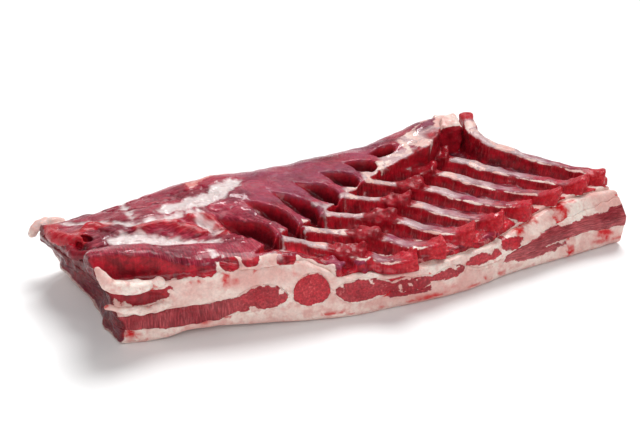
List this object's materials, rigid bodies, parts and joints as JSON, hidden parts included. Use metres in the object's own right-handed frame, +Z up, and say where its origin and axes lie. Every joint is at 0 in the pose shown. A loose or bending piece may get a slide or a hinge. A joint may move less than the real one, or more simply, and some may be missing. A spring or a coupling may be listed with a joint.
{
  "type": "pork belly slab",
  "caption": "Raw boneless pork belly slab lying on its rind: fat, a lean sheet, seam fat and rib meat with raised strips and slots where the ribs were.",
  "frame": {"origin": "middle of the slab's bounding box, on the flat underside", "axes": "+X along the slab towards the end with the long rib strips, +Y from the front cut to the back edge, +Z up from the rind to the rib side"},
  "size_m": [0.5492, 0.2178, 0.0884],
  "materials": {
    "rind_fat": "soft pinkish white back fat with a thin pale rind, moist satin",
    "lean": "grained dark pink lean meat, moist satin",
    "seam_fat": "creamy white seam fat with blood specks, moist satin",
    "rib_meat": "deep red muscle under a glossy purple-pink membrane with white fascia"
  },
  "bodies": {
    "root": {"rind_fat": "rind_fat", "lean_sheet": "lean", "seam_fat": "seam_fat", "rib_meat": "rib_meat"}
  },
  "joints": []
}
